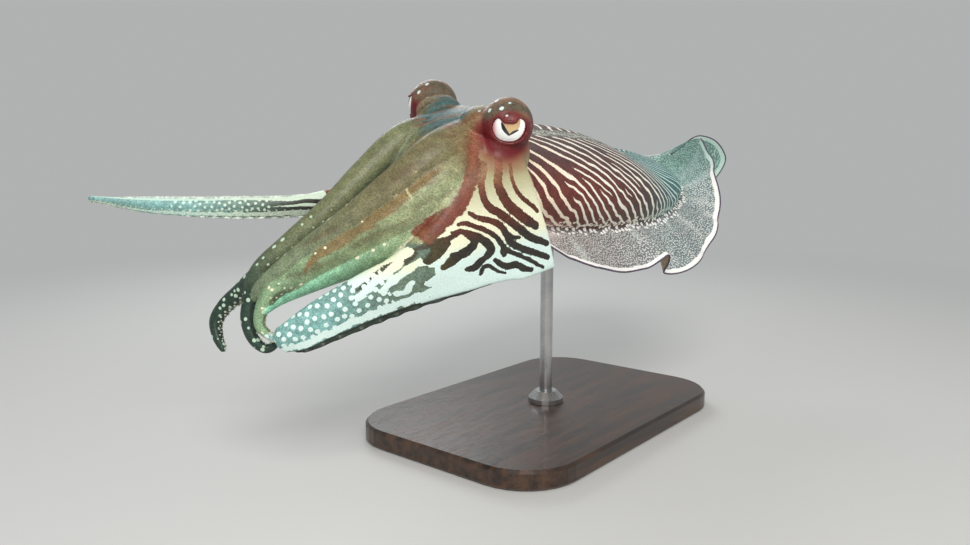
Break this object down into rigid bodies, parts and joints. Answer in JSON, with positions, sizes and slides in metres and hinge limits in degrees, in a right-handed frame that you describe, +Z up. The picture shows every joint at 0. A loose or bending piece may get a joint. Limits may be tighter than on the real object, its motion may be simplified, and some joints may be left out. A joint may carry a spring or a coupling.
{
  "type": "common cuttlefish model",
  "caption": "Life-size model of a common cuttlefish, Sepia officinalis, swimming with its arms held forward and down, on a plain display stand.",
  "frame": {"origin": "centre of the stand base's underside", "axes": "+Z up from the surface that the stand rests on; the animal looks along -X, its left side towards -Y"},
  "size_m": [0.5406, 0.235, 0.2597],
  "materials": {
    "mantle_skin": "satin",
    "head_skin": "satin",
    "arm_skin": "satin",
    "fin_skin": "satin",
    "eye": "gloss",
    "stand_wood": "satin",
    "stand_steel": "satin"
  },
  "bodies": {
    "root": {"arm_left_1_root": "arm_skin", "arm_left_1_tip": "arm_skin", "arm_left_2_root": "arm_skin", "arm_left_2_tip": "arm_skin", "arm_left_3_root": "arm_skin", "arm_left_3_tip": "arm_skin", "arm_left_4_root": "arm_skin", "arm_left_4_tip": "arm_skin", "arm_right_1_root": "arm_skin", "arm_right_1_tip": "arm_skin", "arm_right_2_root": "arm_skin", "arm_right_2_tip": "arm_skin", "arm_right_3_root": "arm_skin", "arm_right_3_tip": "arm_skin", "arm_right_4_root": "arm_skin", "arm_right_4_tip": "arm_skin", "eye_left": "eye", "eye_right": "eye", "fin_left_front": "fin_skin", "fin_left_middle": "fin_skin", "fin_left_rear": "fin_skin", "fin_right_front": "fin_skin", "fin_right_middle": "fin_skin", "fin_right_rear": "fin_skin", "funnel": "head_skin", "head": "head_skin", "mantle": "mantle_skin", "stand_base": "stand_wood", "stand_rod": "stand_steel", "stand_socket": "stand_steel"}
  },
  "joints": []
}
